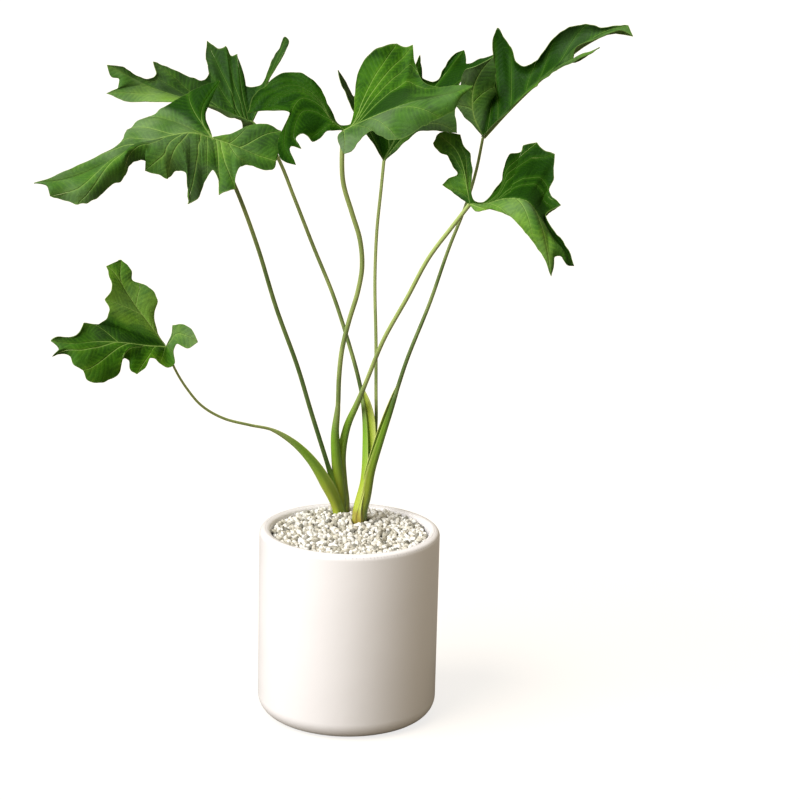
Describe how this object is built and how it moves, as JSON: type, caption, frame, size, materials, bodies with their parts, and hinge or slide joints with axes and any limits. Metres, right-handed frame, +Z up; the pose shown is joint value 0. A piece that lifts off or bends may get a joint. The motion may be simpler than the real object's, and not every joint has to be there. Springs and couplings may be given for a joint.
{
  "type": "potted split-leaf philodendron",
  "caption": "Houseplant with large deeply lobed leaves on long stalks, standing in a round white pot topped with white pebbles.",
  "frame": {"origin": "centre of the pot's round foot, on the surface that the pot stands on", "axes": "+Z up along the pot's axis, -Y towards the viewer of the picture, +X to the viewer's right"},
  "size_m": [0.4584, 0.2347, 0.5783],
  "materials": {
    "pot": "satin",
    "potting_mix": "matte",
    "pebbles": "matte",
    "stalks": "satin",
    "leaves": "satin"
  },
  "bodies": {
    "root": {"pot": "pot", "potting_mix": "potting_mix", "pebbles": "pebbles", "left_crown": "stalks", "right_crown": "stalks", "left_front_blade": "leaves", "left_back_blade": "leaves", "centre_front_blade": "leaves", "centre_back_blade": "leaves", "right_back_blade": "leaves", "right_front_blade": "leaves", "left_low_blade": "leaves"}
  },
  "joints": []
}
